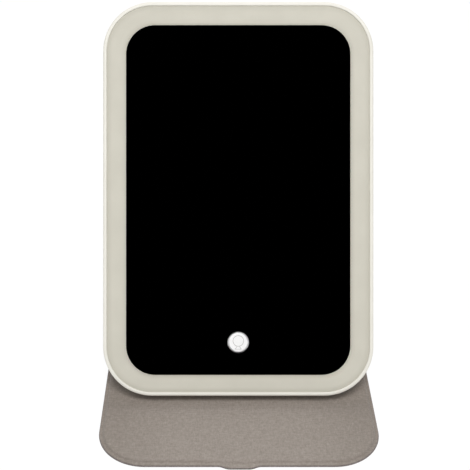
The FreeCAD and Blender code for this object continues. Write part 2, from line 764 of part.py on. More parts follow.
def main():
    os.makedirs("parts", exist_ok=True)
    save("base_skin", [base_skin()])
    save("base_lining", [base_lining()])
    save("base_board", [base_board()])
    save("spine_board", [spine_board()])
    save("hold_plate", [hold_sheet()])
    save("closure_magnets", closure_magnets())
    save("leg_skin", [leg_skin()], LEG_PLACE)
    save("leg_board", [leg_board()], LEG_PLACE)
    save("leg_lining", [leg_lining()], LEG_PLACE)
    unit = {
        "back_skin": [back_skin()],
        "back_board": [back_board()],
        "back_tape": [back_tape()],
        "rear_housing": [rear_housing()],
        "front_bezel": [front_bezel()],
        "light_diffuser": [light_diffuser()],
        "mirror_glass": [mirror_glass()],
        "mirror_tape": [mirror_tape()],
        "inner_frame": [inner_frame()],
        "led_strips": led_strips(),
        "led_chips": led_chips(),
        "strip_jumpers": strip_jumpers(),
        "led_leads": led_leads(),
        "lead_connectors": lead_connectors(),
        "control_board": [control_board()],
        "board_chips": board_chips(),
        "tact_switch": [tact_switch()],
        "usb_socket": [usb_socket()],
        "usb_blade": [usb_blade()],
        "charge_light": [charge_light()],
        "battery_cell": [battery_cell()],
        "battery_pad": [battery_pad()],
        "battery_lead_red": [battery_lead(1)],
        "battery_lead_black": [battery_lead(-1)],
        "case_screws": case_screws(),
        "board_screws": board_screws(),
        "foot_magnets": unit_magnets(RIM_W + MAGNET_GAP + MAGNET_H / 2),
        "top_magnets": unit_magnets(UNIT_H - RIM_W - MAGNET_GAP - MAGNET_H / 2),
        "button_cap": [button_cap()],
        "switch_plunger": [switch_plunger()],
    }
    for name, shapes in unit.items():
        save(name, shapes, UNIT_PLACE)
    crease = UNIT_PLACE.multVec(Vector(0, FOLD_UP, -FOLD_DEPTH))
    inward = UNIT_TURN.multVec(Vector(0, 0, -1))
    print("spine fold axis at y", SPINE_Y, "z", ROLL_R)
    print("back crease axis at y", crease.y, "z", crease.z)
    print("button moves along y", inward.y, "z", inward.z)
    print("unit thickness", UNIT_T, "leg length", LEG_L, "leg lean", LEAN)


main()
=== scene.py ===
import json
import math

import bmesh
import bpy
from mathutils import Matrix, Vector, noise


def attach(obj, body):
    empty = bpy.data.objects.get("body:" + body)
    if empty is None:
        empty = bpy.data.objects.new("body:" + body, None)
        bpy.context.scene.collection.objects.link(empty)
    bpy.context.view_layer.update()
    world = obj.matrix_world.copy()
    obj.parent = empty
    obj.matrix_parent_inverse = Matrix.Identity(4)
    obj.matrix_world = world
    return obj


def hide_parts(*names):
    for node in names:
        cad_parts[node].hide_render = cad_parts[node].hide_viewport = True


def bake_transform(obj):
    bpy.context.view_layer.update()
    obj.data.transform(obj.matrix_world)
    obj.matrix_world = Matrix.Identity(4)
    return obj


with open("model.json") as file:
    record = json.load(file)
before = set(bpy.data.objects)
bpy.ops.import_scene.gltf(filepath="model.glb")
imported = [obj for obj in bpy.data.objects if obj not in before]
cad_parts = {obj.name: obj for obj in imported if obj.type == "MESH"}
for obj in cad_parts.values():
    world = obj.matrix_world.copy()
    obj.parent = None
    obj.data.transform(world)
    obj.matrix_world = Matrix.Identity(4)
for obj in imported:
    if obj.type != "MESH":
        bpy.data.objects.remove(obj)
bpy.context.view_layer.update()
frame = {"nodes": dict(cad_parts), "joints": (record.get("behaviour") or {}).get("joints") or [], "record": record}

# A lighted makeup mirror whose folding cover is also its stand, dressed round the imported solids.
# Sizes are in millimetres, and MM makes them metres. Those that the part's source has too keep its names.
# In the unit's own frame X runs to the right, Y up the face from its lower edge and Z out of the glass.
# Depths run the other way, from the rim's front. In the leg's own frame Y runs up the leg from the spine,
# and Z points into the stand.

MM = 0.001

# Mirror unit, outside
UNIT_W = 160.0
UNIT_H = 233.0
UNIT_R = 29.0
UNIT_T = 13.0
RIM_W = 2.2
RIM_ROUND = 1.2
RIM_INNER_ROUND = 0.5
BEZEL_DEPTH = 5.0
SEAM = 0.16
TONGUE_T = 0.7
TONGUE_H = 1.6
TONGUE_GAP = 0.1

# Light band and glass
RECESS = 0.6
BAND_W = 11.3
BAND_FOOT_W = 10.1
BAND_GAP = 0.03
BAND_SIDE = 0.2
BAND_FALL = 0.5
BAND_CROWN = 0.05
BAND_EASE = 0.17
BAND_EASE_SHARE = 0.16
BAND_SHARES = (0.01, 0.03, 0.08, 0.15, 0.23, 0.32, 0.6, 0.75, 0.85, 0.93)
BAND_LIP_GAP = 0.05
BAND_LIP_W = 0.17
BAND_LIP_H = 0.15
# How far the painted shade reaches across the band from the rim and from the glass
SHADE_OUTER_SHARE = 0.34
SHADE_INNER_SHARE = 0.26
PANE_R = 17.3
PANE_T = 2.0
PANE_BEVEL = 0.12
HOLE_BEVEL = 0.1

# Button and the mark on it
BUTTON_R = 6.1
BUTTON_UP = 31.7
BUTTON_PROUD = 0.3
BUTTON_GAP = 0.25
CAP_INSET = 0.2
CAP_ROUND_W = 1.0
CAP_ROUND_H = 0.9
DISH_DEPTH = 0.05
DISH_SHARES = (0.12, 0.42, 0.75, 1.0)
FLANGE_OUT = 1.2
FLANGE_CLEAR = 0.15
FLANGE_T = 0.8
STEM_R = 2.0
STEM_END = 7.1
MARK_UP = 0.85
MARK_R = 2.95
MARK_LINE_W = 0.37
MARK_PROUD = 0.015
MARK_SINK = 0.1
STRUT_TOP = (0.75, -2.45)
STRUT_FOOT = (1.85, -4.1)
FOOT_END = (1.7, -4.05)
BAR_HALF_W = 0.16

# Case screws
BOSS_IN = 12.0
BOSS_RISE = 8.0
PCB_H = 24.0
SCREW_R = 1.0
SCREW_L = 6.0
TIP_R = 0.3
TIP_H = 0.65
HEAD_R = 1.9
HEAD_H = 0.9
HEAD_SINK = 0.1
HEAD_FLAT_R = 1.3
HEAD_SIDE_H = 0.4
CROSS_HALF_W = 0.22
CROSS_REACH = 0.95
SCREW_TURN_RADIANS = 0.7

# Folding cover
SKIN_T = 0.8
STIFF_T = 1.4
LINING_T = 0.7
COVER_OVERHANG = 0.6
COVER_R = 28.0
SPINE_W = 15.0
TURN_W = 3.0
FOLD_DOWN = 55.0
FOLD_GAP = 0.3
FOLD_SETBACK = 3.0
BACK_INSET = 3.0
BACK_EDGE_ROUND = 1.6
TAB_OUT = 2.0
TAB_FOOT_HALF = 12.0
TAB_SLOPE_W = 6.4
TAB_FADE_IN = 0.4
TAB_FADE_W = 3.4
SKIN_EDGE_ROUND = 0.28
REAR_SLANT = 0.01

# Lines pressed into the skin, by their distance from the edge
LINE_IN = 3.5
LINE_END_IN = 13.5
LINE_R = 5.0
LINE_HALF_W = 1.2
LINE_DEPTH = 0.32
COVER_LINE_DEPTH = 0.26
LINE_PLACES = (-1.2, -0.7, -0.3, 0.0, 0.3, 0.7, 1.2)

# How thick the leather is at its cut edges: rows of inset and share of the full thickness
LEG_EDGE = ((0.0, 0.86), (0.1, 0.95), (0.3, 1.0), (1.0, 1.0))
FOLD_EDGE = ((0.0, 0.5), (0.12, 0.85), (0.4, 1.0))

# Edge of the glued linings: a cut edge, a pressed border and a step up over the board
CLOTH_IN = 0.38
CLOTH_LOW_ROUND = 0.12
CLOTH_TOP_ROUND = 0.24
CLOTH_PLACES = (1.1, 1.6, 2.0, 2.2, 2.36, 2.5, 2.72, 3.1, 3.8, 5.0)
CLOTH_DIP = 0.04
CLOTH_DIP_IN = 1.7
CLOTH_DIP_HALF_W = 0.6
CLOTH_STEP_IN = 2.0
CLOTH_STEP_HALF_W = 0.445
RIPPLE = 0.07
RIPPLE_RATE = 0.045
VALLEY_FLAT = 0.6
VALLEY_W = 2.2

# Skin across the folds
SPINE_LAP = 8.0
LEG_LAP = 9.0
LAP_PLACES = (3.0, 4.5, 6.0, 7.5, 9.0)
NOSE_PLACES = (0.8, 1.8)
CREASE_PLACES = (2.2,)
LAP_SINK = 0.02
SPINE_FOLD_T = 0.65
SPINE_FEATHER_T = 0.06
SPINE_NOSE_GAP = 0.03
CREASE_FOLD_T = 0.37
CREASE_FEATHER_T = 0.07
CREASE_SINK = 0.1
CREASE_BEND = 1.5
LEG_LAP_INSET = 0.3
BACK_LAP_INSET = 0.4

# Worked out from these
PANE_BACK = RECESS + PANE_T
PANE_SIDE = UNIT_W / 2 - RIM_W - BAND_W
PANE_LOW = RIM_W + BAND_FOOT_W
PANE_TOP = UNIT_H - RIM_W - BAND_W
BUTTON_FACE = RECESS - BUTTON_PROUD
FLANGE_FRONT = PANE_BACK + FLANGE_CLEAR
FLANGE_BACK = FLANGE_FRONT + FLANGE_T
SCREW_SEAT = UNIT_T - HEAD_SINK - HEAD_H
SCREW_ROWS = (BUTTON_UP + PCB_H / 2 + BOSS_RISE, UNIT_H / 2, PANE_TOP - BOSS_IN)
SCREW_X = PANE_SIDE - BOSS_IN
BORDER_Z = SKIN_T + LINING_T
PANEL_T = SKIN_T + STIFF_T + LINING_T
NOSE_R = PANEL_T / 2
COVER_W = UNIT_W + 2 * COVER_OVERHANG
COVER_L = UNIT_H + COVER_OVERHANG
FOLD_UP = UNIT_H - FOLD_DOWN
FOLD_DEPTH = UNIT_T + FOLD_GAP + NOSE_R
BACK_LOW = FOLD_UP + NOSE_R + FOLD_GAP
BACK_FACE = FOLD_DEPTH + NOSE_R

# Places read from the frame's joints
JOINTS = {joint["name"]: joint for joint in frame["joints"]}
SPINE = Vector(JOINTS["stand_fold"]["pos_m"]) / MM
CREASE = Vector(JOINTS["mirror_fold"]["pos_m"]) / MM
INWARD = Vector(JOINTS["button_press"]["axis"])
UP_LEG = (CREASE - SPINE).normalized()
LEG_OUT = UP_LEG.cross(Vector((1, 0, 0)))
UP_FACE = Vector((1, 0, 0)).cross(INWARD)
LEG_L = (CREASE - SPINE).length
LEG_ANGLE = math.atan2(UP_LEG.z, UP_LEG.y)
UNIT_ANGLE = math.atan2(UP_FACE.z, UP_FACE.y)
UNIT_FOOT = CREASE - UP_FACE * FOLD_UP - INWARD * FOLD_DEPTH
UNIT = Matrix.Translation(UNIT_FOOT * MM) @ Matrix.Rotation(UNIT_ANGLE, 4, "X")
LEG = Matrix.Translation(SPINE * MM) @ Matrix.Rotation(LEG_ANGLE, 4, "X")
ROLL_R = SPINE.z
SPINE_Y = SPINE.y
CREASE_Y = SPINE_Y - SPINE_W
FRONT_Y = CREASE_Y - COVER_L

# How finely the meshes are divided
CORNER_STEPS = 18
ROUND_STEPS = 64
SCREW_STEPS = 40
RIM_STEPS = 7
CAP_STEPS = 9
EASE_STEPS = 4
EDGE_STEPS = 3
LIP_STEPS = 2
NOSE_STEPS = 10
ROLL_STEPS = 12
BEND_STEPS = 8
PANEL_STEP = 8.0
LEG_STEP = 12.0
FINE_STEP = 0.5
SPINE_STEP = 2.0
TAB_STEP = 0.7
VALLEY_STEP = 0.6
LEG_END_PLACES = (0.0, 4.0, 8.0)
CUT_MERGE = 0.0001

# Angles in degrees from which an edge between faces is drawn sharp
SHARP = 35
SHARP_PANE = 10
SHARP_LEG = 40
SHARP_SOFT = 50


# Materials

# Mesh attribute that says how much painted shade darkens the light band
PAINTED_EDGE_SHADE = "painted_edge_shade"
NOISE_LOW = 0.3
NOISE_HIGH = 0.7


def screen(r, g, b):
    """Linear colour of an 8-bit screen colour."""
    def linear(v):
        v /= 255
        return v / 12.92 if v <= 0.04045 else ((v + 0.055) / 1.055) ** 2.4
    return (linear(r), linear(g), linear(b), 1.0)


def new_material(name, **constants):
    """A material and its shader. Constants are socket names with underscores for spaces."""
    made = bpy.data.materials.new(name)
    made.use_nodes = True
    shader = made.node_tree.nodes["Principled BSDF"]
    for socket, value in constants.items():
        shader.inputs[socket.replace("_", " ")].default_value = value
    return made, made.node_tree, shader


def object_coords(tree, stretch=(1, 1, 1)):
    coords = tree.nodes.new("ShaderNodeTexCoord")
    mapping = tree.nodes.new("ShaderNodeMapping")
    mapping.inputs["Scale"].default_value = stretch
    tree.links.new(coords.outputs["Object"], mapping.inputs["Vector"])
    return mapping.outputs["Vector"]


def speckle(tree, size, detail=2.0, stretch=(1, 1, 1)):
    """Noise whose patches are about as large as the size."""
    node = tree.nodes.new("ShaderNodeTexNoise")
    node.inputs["Scale"].default_value = 1 / (size * MM)
    node.inputs["Detail"].default_value = detail
    tree.links.new(object_coords(tree, stretch), node.inputs["Vector"])
    return node.outputs["Fac"]


def cells(tree, size, feature="F1"):
    """Voronoi distance with cells of a size."""
    node = tree.nodes.new("ShaderNodeTexVoronoi")
    node.feature = feature
    node.inputs["Scale"].default_value = 1 / (size * MM)
    tree.links.new(object_coords(tree), node.inputs["Vector"])
    return node.outputs["Distance"]


def threads(tree, axis, pitch, wobble, wobble_scale):
    """Rows of threads across an axis. At a scale of one the wave repeats ten times in a length of pi."""
    node = tree.nodes.new("ShaderNodeTexWave")
    node.bands_direction = axis
    node.inputs["Scale"].default_value = math.pi / 10 / (pitch * MM)
    node.inputs["Distortion"].default_value = wobble
    node.inputs["Detail Scale"].default_value = wobble_scale
    tree.links.new(object_coords(tree), node.inputs["Vector"])
    return node.outputs["Fac"]


def blend_math(tree, operation, *values, clamp=False):
    """A sum or the like of numbers and sockets."""
    node = tree.nodes.new("ShaderNodeMath")
    node.operation = operation
    node.use_clamp = clamp
    for socket, value in zip(node.inputs, values):
        if isinstance(value, (int, float)):
            socket.default_value = value
        else:
            tree.links.new(value, socket)
    return node.outputs["Value"]


def colour_between(tree, factor, low, high, start=NOISE_LOW, end=NOISE_HIGH):
    node = tree.nodes.new("ShaderNodeValToRGB")
    node.color_ramp.elements[0].position = start
    node.color_ramp.elements[0].color = low
    node.color_ramp.elements[1].position = end
    node.color_ramp.elements[1].color = high
    tree.links.new(factor, node.inputs["Fac"])
    return node.outputs["Color"]


def number_between(tree, factor, low, high, start=NOISE_LOW, end=NOISE_HIGH, shape="LINEAR"):
    node = tree.nodes.new("ShaderNodeMapRange")
    node.interpolation_type = shape
    node.inputs["From Min"].default_value = start
    node.inputs["From Max"].default_value = end
    node.inputs["To Min"].default_value = low
    node.inputs["To Max"].default_value = high
    tree.links.new(factor, node.inputs["Value"])
    return node.outputs["Result"]


def relief(tree, shader, height, depth, strength=1.0):
    """Bump of a depth."""
    node = tree.nodes.new("ShaderNodeBump")
    node.inputs["Strength"].default_value = strength
    node.inputs["Distance"].default_value = depth * MM
    tree.links.new(height, node.inputs["Height"])
    tree.links.new(node.outputs["Normal"], shader.inputs["Normal"])


def plastic(name, low, high, rough, grain=0.35, depth=0.006, **constants):
    """Moulded plastic: faint clouding, uneven gloss and a fine spark-eroded grain."""
    cloud_size, gloss_size, gloss_spread = 18, 5, 0.04
    made, tree, shader = new_material(name, **constants)
    clouds = speckle(tree, cloud_size, 3)
    gloss = number_between(tree, speckle(tree, gloss_size), rough - gloss_spread, rough + gloss_spread)
    tree.links.new(colour_between(tree, clouds, low, high), shader.inputs["Base Color"])
    tree.links.new(gloss, shader.inputs["Roughness"])
    relief(tree, shader, speckle(tree, grain), depth)
    return made


def metal(name, low, high, rough, stretch=(1, 1, 1)):
    """Plated or drawn metal with fine streaks."""
    streak_size, rough_spread = 0.8, 0.12
    made, tree, shader = new_material(name, Metallic=1.0)
    streaks = speckle(tree, streak_size, 3, stretch)
    tree.links.new(colour_between(tree, streaks, low, high), shader.inputs["Base Color"])
    tree.links.new(number_between(tree, streaks, rough, rough + rough_spread), shader.inputs["Roughness"])
    return made


def painted_side_shade(tree, start, end, amount):
    """Painted shade: grows from nought to an amount between two distances from the middle, to the left and the
    right.
    """
    place = tree.nodes.new("ShaderNodeSeparateXYZ")
    tree.links.new(object_coords(tree), place.inputs["Vector"])
    away = blend_math(tree, "ABSOLUTE", place.outputs["X"])
    return number_between(tree, away, 0.0, amount, start * MM, end * MM, "SMOOTHSTEP")


def woven(name, dark, light):
    """Fine plain-weave lining cloth with uneven threads, a soft fuzz and a little painted shade along its sides.
    """
    pitch, wobble, wobble_scale = 0.62, 1.2, 1.5
    slub_size, slub_stretch = 0.9, 0.35
    weave_gain, weave_share, slub_share = 1.6, 0.32, 0.34
    # Where the painted shade along the sides starts and ends, and how much it darkens
    unshaded_half, shaded_half, side_shade_amount = 30, 85, 0.1
    dark_end, light_end = 0.32, 0.68
    depth, strength = 0.07, 0.7
    made, tree, shader = new_material(name, Roughness=0.92, Sheen_Weight=0.18, Sheen_Roughness=0.6,
                                      Specular_IOR_Level=0.2)
    warp = blend_math(tree, "SUBTRACT", threads(tree, "X", pitch, wobble, wobble_scale), 0.5)
    weft = blend_math(tree, "SUBTRACT", threads(tree, "Y", pitch, wobble, wobble_scale), 0.5)
    weave = blend_math(tree, "MULTIPLY_ADD", blend_math(tree, "MULTIPLY", warp, weft), weave_gain, 0.5)
    slubs = blend_math(tree, "ADD", speckle(tree, slub_size, 2, (slub_stretch, 1, 1)),
                       speckle(tree, slub_size, 2, (1, slub_stretch, 1)))
    faint_weave = blend_math(tree, "MULTIPLY", weave, weave_share)
    mottle = blend_math(tree, "MULTIPLY_ADD", slubs, slub_share, faint_weave)
    # Painted shade: the colour darkens towards the lining's left and right sides
    tone = blend_math(tree, "SUBTRACT", mottle, painted_side_shade(tree, unshaded_half, shaded_half, side_shade_amount))
    tree.links.new(colour_between(tree, tone, dark, light, dark_end, light_end), shader.inputs["Base Color"])
    relief(tree, shader, blend_math(tree, "ADD", weave, slubs), depth, strength)
    return made


def leather(name, dark, light):
    """Coated leather-look skin: pebbled grain with dark creases between, paler on its worn tops."""
    pebble_size, pore_size, cloud_size = 1.7, 0.5, 14
    crease_share, crease_gain = 0.22, 4.0
    pebble_share, pore_share, grain_share, cloud_share = 0.75, 0.4, 0.5, 0.35
    dark_end, light_end = 0.3, 0.75
    crease_rough, top_rough = 0.6, 0.46
    depth, strength = 0.16, 0.75
    made, tree, shader = new_material(name, Specular_IOR_Level=0.4)
    creases = blend_math(tree, "MINIMUM", cells(tree, pebble_size, "DISTANCE_TO_EDGE"), crease_share)
    pebbles = blend_math(tree, "MULTIPLY", creases, crease_gain)
    pores = blend_math(tree, "MULTIPLY", cells(tree, pore_size), pore_share)
    grain = blend_math(tree, "MULTIPLY_ADD", pebbles, pebble_share, pores)
    clouds = blend_math(tree, "MULTIPLY", speckle(tree, cloud_size, 4), cloud_share)
    tone = blend_math(tree, "MULTIPLY_ADD", grain, grain_share, clouds)
    tree.links.new(colour_between(tree, tone, dark, light, dark_end, light_end), shader.inputs["Base Color"])
    tree.links.new(number_between(tree, grain, crease_rough, top_rough), shader.inputs["Roughness"])
    relief(tree, shader, grain, depth, strength)
    return made


def diffuser(low, high, edge):
    """Milky plastic with painted shade: a little darker where the mesh says that it is near the rim or the glass.
    """
    made = plastic("milky_plastic", low, high, rough=0.6, depth=0.001, Specular_IOR_Level=0.35)
    tree = made.node_tree
    base = tree.nodes["Principled BSDF"].inputs["Base Color"]
    near = tree.nodes.new("ShaderNodeAttribute")
    near.attribute_name = PAINTED_EDGE_SHADE
    mix = tree.nodes.new("ShaderNodeMix")
    mix.data_type = "RGBA"
    factor, first, second, mixed = mix.inputs[0], mix.inputs[6], mix.inputs[7], mix.outputs[2]
    second.default_value = edge
    tree.links.new(near.outputs["Fac"], factor)
    tree.links.new(base.links[0].from_socket, first)
    tree.links.new(mixed, base)
    return made


def silvered_glass():
    """A polished mirror with a faint haze."""
    haze_size, rough_low, rough_high = 40, 0.004, 0.012
    low, high = (0.90, 0.915, 0.91, 1), (0.93, 0.94, 0.935, 1)
    made, tree, shader = new_material("silvered_glass", Metallic=1.0)
    haze = speckle(tree, haze_size, 4)
    tree.links.new(colour_between(tree, haze, low, high), shader.inputs["Base Color"])
    tree.links.new(number_between(tree, haze, rough_low, rough_high), shader.inputs["Roughness"])
    return made


def circuit():
    """Green solder mask with paler copper runs."""
    run_pitch, run_end, mask_start = 2.4, 0.05, 0.09
    depth, strength = 0.03, 0.4
    made, tree, shader = new_material("circuit", Roughness=0.35)
    runs = cells(tree, run_pitch, "DISTANCE_TO_EDGE")
    green = colour_between(tree, runs, screen(62, 120, 70), screen(24, 78, 44), run_end, mask_start)
    tree.links.new(green, shader.inputs["Base Color"])
    relief(tree, shader, runs, depth, strength)
    return made


def clear_plastic():
    cloud_size = 1.5
    made, tree, shader = new_material("clear_plastic", Transmission_Weight=0.7, IOR=1.49, Roughness=0.25)
    tint = colour_between(tree, speckle(tree, cloud_size), screen(226, 232, 228), screen(240, 243, 240))
    tree.links.new(tint, shader.inputs["Base Color"])
    return made


IVORY = plastic("ivory_plastic", screen(235, 233, 224), screen(240, 238, 230), 0.48, depth=0.003,
                Specular_IOR_Level=0.4)
# The third colour is the painted shade near the rim and the glass.
MILKY = diffuser(screen(204, 201, 189), screen(209, 206, 194), screen(196, 193, 181))
BUTTON_WHITE = plastic("button_plastic", screen(249, 250, 251), screen(252, 252, 253), 0.4, depth=0.003)
PRINT_GREY = plastic("print_grey", screen(190, 190, 190), screen(200, 200, 199), 0.55)
MIRROR = silvered_glass()
GLASS_EDGE = plastic("glass_edge", screen(226, 229, 220), screen(234, 236, 229), 0.25, depth=0.004)
LINING = woven("cover_lining", screen(133, 124, 116), screen(168, 159, 152))
SKIN = leather("cover_skin", screen(112, 103, 101), screen(142, 132, 131))
STEEL = metal("steel", (0.50, 0.50, 0.49, 1), (0.62, 0.62, 0.60, 1), 0.28, (1, 0.15, 1))
BLACK = plastic("black_plastic", screen(24, 24, 25), screen(34, 34, 35), 0.5)
SLOT_MATERIALS = {
    "ivory_plastic": IVORY,
    "milky_plastic": MILKY,
    "button_plastic": BUTTON_WHITE,
    "silvered_glass": MIRROR,
    "cover_lining": LINING,
    "cover_skin": SKIN,
    "steel": STEEL,
    "black_plastic": BLACK,
    "cover_board": plastic("cover_board", screen(140, 130, 115), screen(158, 148, 132), 0.85, 0.7, 0.05),
    "magnet": metal("magnet", (0.60, 0.59, 0.57, 1), (0.68, 0.67, 0.65, 1), 0.2),
    "foam_tape": plastic("foam_tape", screen(70, 70, 72), screen(92, 92, 94), 0.9, 0.5, 0.06),
    "white_plastic": plastic("white_plastic", screen(222, 221, 216), screen(232, 231, 226), 0.45),
    "strip_board": plastic("strip_board", screen(232, 233, 230), screen(242, 242, 238), 0.4),
    "lamp_chip": plastic("lamp_chip", screen(228, 196, 84), screen(240, 214, 112), 0.3),
    "lead_white": plastic("lead_white", screen(226, 226, 222), screen(236, 236, 232), 0.5),
    "lead_red": plastic("lead_red", screen(160, 28, 26), screen(182, 38, 34), 0.5),
    "lead_black": plastic("lead_black", screen(26, 26, 27), screen(38, 38, 39), 0.5),
    "circuit": circuit(),
    "clear_plastic": clear_plastic(),
    "battery_foil": metal("battery_foil", (0.55, 0.56, 0.57, 1), (0.66, 0.67, 0.68, 1), 0.35),
}


# Mesh building, in millimetres

def smooth(value):
    """Goes from nought to one with soft ends as the value does."""
    value = min(max(value, 0.0), 1.0)
    return value * value * (3 - 2 * value)


def steps_between(low, high, step):
    """Even places from low to high, about a step apart."""
    count = max(1, round((high - low) / step))
    return [low + (high - low) * i / count for i in range(count + 1)]


def quarter(steps):
    """Angles from nought to a right angle."""
    return [math.radians(90 * i / steps) for i in range(steps + 1)]


def arc(x, y, radius, start, steps):
    """Points on a quarter circle, anticlockwise from a start in degrees."""
    if radius <= 0:
        return [(x, y)]
    turn = [math.radians(start) + a for a in quarter(steps)]
    return [(x + radius * math.cos(a), y + radius * math.sin(a)) for a in turn]


def outline(half, low, high, low_r, high_r, low_points=()):
    """Points round a rectangle with rounded corners, as many for every inset of it."""
    points = arc(low_r - half, low + low_r, low_r, 180, CORNER_STEPS)
    points += list(low_points)
    points += arc(half - low_r, low + low_r, low_r, 270, CORNER_STEPS)
    points += arc(half - high_r, high - high_r, high_r, 0, CORNER_STEPS)
    return points + arc(high_r - half, high - high_r, high_r, 90, CORNER_STEPS)


def circle(x, y, radius, depth, steps):
    """Points round a circle on the unit, at a depth."""
    turn = [2 * math.pi * i / steps for i in range(steps)]
    return [(x + radius * math.cos(a), y + radius * math.sin(a), -depth) for a in turn]


def cut_edge(inset, low, high, low_round, high_round):
    """Points of inset and height up a sheet's cut edge, whose two corners are rounded."""
    lower = arc(inset + low_round, low + low_round, low_round, 180, EDGE_STEPS)
    upper = arc(inset + high_round, high - high_round, high_round, 90, EDGE_STEPS)
    return lower[::-1] + upper[::-1]


def at_height(points, z):
    return [(x, y, z) for x, y in points]


def area_of(points):
    """Area in square metres inside an outline."""
    pairs = zip(points, points[1:] + points[:1])
    return abs(sum(a[0] * b[1] - b[0] * a[1] for a, b in pairs)) / 2 * MM * MM


def row_of(bm, points):
    return [bm.verts.new(Vector(p) * MM) for p in points]


def join(bm, first, second):
    """Faces between two closed rows of as many points each."""
    made = []
    for i in range(len(first)):
        j = (i + 1) % len(first)
        made.append(bm.faces.new((first[i], first[j], second[j], second[i])))
    return made


def fill_between(bm, rows):
    """Closes a flat place that is bounded by closed rows."""
    edges = []
    for row in rows:
        edges += [bm.edges.get((row[i], row[(i + 1) % len(row)])) for i in range(len(row))]
    bmesh.ops.triangle_fill(bm, use_beauty=True, edges=edges)


def loft(loops, ring=False, thin=False):
    """Joins loops of as many points each. A ring joins the last to the first, and others get end faces. Those
    of a thin section are filled with triangles."""
    bm = bmesh.new()
    rows = [row_of(bm, loop) for loop in loops]
    for first, second in zip(rows, rows[1:]):
        join(bm, first, second)
    if ring:
        join(bm, rows[-1], rows[0])
    elif thin:
        fill_between(bm, rows[:1])
        fill_between(bm, rows[-1:])
    else:
        bm.faces.new(rows[0])
        bm.faces.new(rows[-1])
    return bm


def cut_across(bm, axis, places):
    """Divides the faces along planes, so that they can be shaped."""
    normal = Vector((axis == 0, axis == 1, axis == 2))
    for place in places:
        parts = bm.verts[:] + bm.edges[:] + bm.faces[:]
        middle = normal * place * MM
        bmesh.ops.bisect_plane(bm, geom=parts, dist=CUT_MERGE * MM, plane_co=middle, plane_no=normal)


def piece(name, bm, body, finishes, place=None, replaces=(), sharp=SHARP):
    """Turns a finished mesh into a piece that rides on a CAD body, or on none yet."""
    bmesh.ops.recalc_face_normals(bm, faces=bm.faces)
    data = bpy.data.meshes.new(name)
    bm.to_mesh(data)
    bm.free()
    data.polygons.foreach_set("use_smooth", [True] * len(data.polygons))
    data.set_sharp_from_angle(angle=math.radians(sharp))
    for finish in finishes:
        data.materials.append(finish)
    made = bpy.data.objects.new(name, data)
    bpy.context.scene.collection.objects.link(made)
    if place:
        made.matrix_world = place
    if body:
        bpy.context.view_layer.update()
        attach(made, body)
    if replaces:
        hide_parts(*replaces)
    return made


# Mirror unit

def unit_loop(inset, depth):
    """The unit's outline, drawn in by an inset, at a depth."""
    r = UNIT_R - inset
    return at_height(outline(UNIT_W / 2 - inset, inset, UNIT_H - inset, r, r), -depth)


def pane_loop(grow, depth):
    """The glass's outline, grown by a margin, at a depth."""
    r = PANE_R + grow
    return at_height(outline(PANE_SIDE + grow, PANE_LOW - grow, PANE_TOP + grow, r, r), -depth)


def bezel():
    """The ivory rim, with a fine open seam where it meets the rear housing and a groove for its tongue."""
    groove_depth = BEZEL_DEPTH - TONGUE_H - TONGUE_GAP
    groove_in = RIM_W - TONGUE_T - TONGUE_GAP
    inner = RIM_W - RIM_INNER_ROUND
    section = [(SEAM, BEZEL_DEPTH), (0.0, BEZEL_DEPTH - SEAM)]
    for a in quarter(RIM_STEPS):
        section.append((RIM_ROUND * (1 - math.cos(a)), RIM_ROUND * (1 - math.sin(a))))
    for a in quarter(EASE_STEPS):
        section.append((inner + RIM_INNER_ROUND * math.sin(a), RIM_INNER_ROUND * (1 - math.cos(a))))
    section += [(RIM_W, groove_depth), (groove_in, groove_depth), (groove_in, BEZEL_DEPTH)]
    bm = loft([unit_loop(i, d) for i, d in section], ring=True)
    piece("bezel_rim", bm, "mirror_unit", [IVORY], UNIT, ["front_bezel"])


def band():
    """The milky light band. It falls a little towards the glass, and its edges are eased."""
    edge, low = RIM_W + BAND_GAP, RECESS + BAND_FALL
    outer = unit_loop(edge, RECESS)
    inner = pane_loop(BAND_LIP_GAP + BAND_LIP_W, low)
    loops = [unit_loop(edge, PANE_BACK), unit_loop(edge, RECESS + BAND_SIDE)]
    shares = [0.0] * len(loops)
    for share in BAND_SHARES:
        sink = BAND_EASE * (1 - smooth(share / BAND_EASE_SHARE)) - BAND_CROWN * math.sin(math.pi * share)
        down = Vector((0, 0, -sink))
        loops.append([Vector(a).lerp(Vector(b), share) + down for a, b in zip(outer, inner)])
        shares.append(share)
    for a in quarter(LIP_STEPS):
        grow = BAND_LIP_GAP + BAND_LIP_W * (1 - math.sin(a))
        loops.append(pane_loop(grow, low + BAND_LIP_H * (1 - math.cos(a))))
        shares.append(1.0)
    loops.append(pane_loop(BAND_LIP_GAP, PANE_BACK))
    shares.append(1.0)
    bm = loft(loops, ring=True)
    # Painted shade, strongest at the rim and at the glass, stored on the band's mesh
    shade = bm.verts.layers.float.new(PAINTED_EDGE_SHADE)
    for i, v in enumerate(bm.verts):
        share = shares[i // len(outer)]
        v[shade] = smooth(max(1 - share / SHADE_OUTER_SHARE, 1 - (1 - share) / SHADE_INNER_SHARE))
    piece("light_band", bm, "mirror_unit", [MILKY], UNIT, ["light_diffuser"])


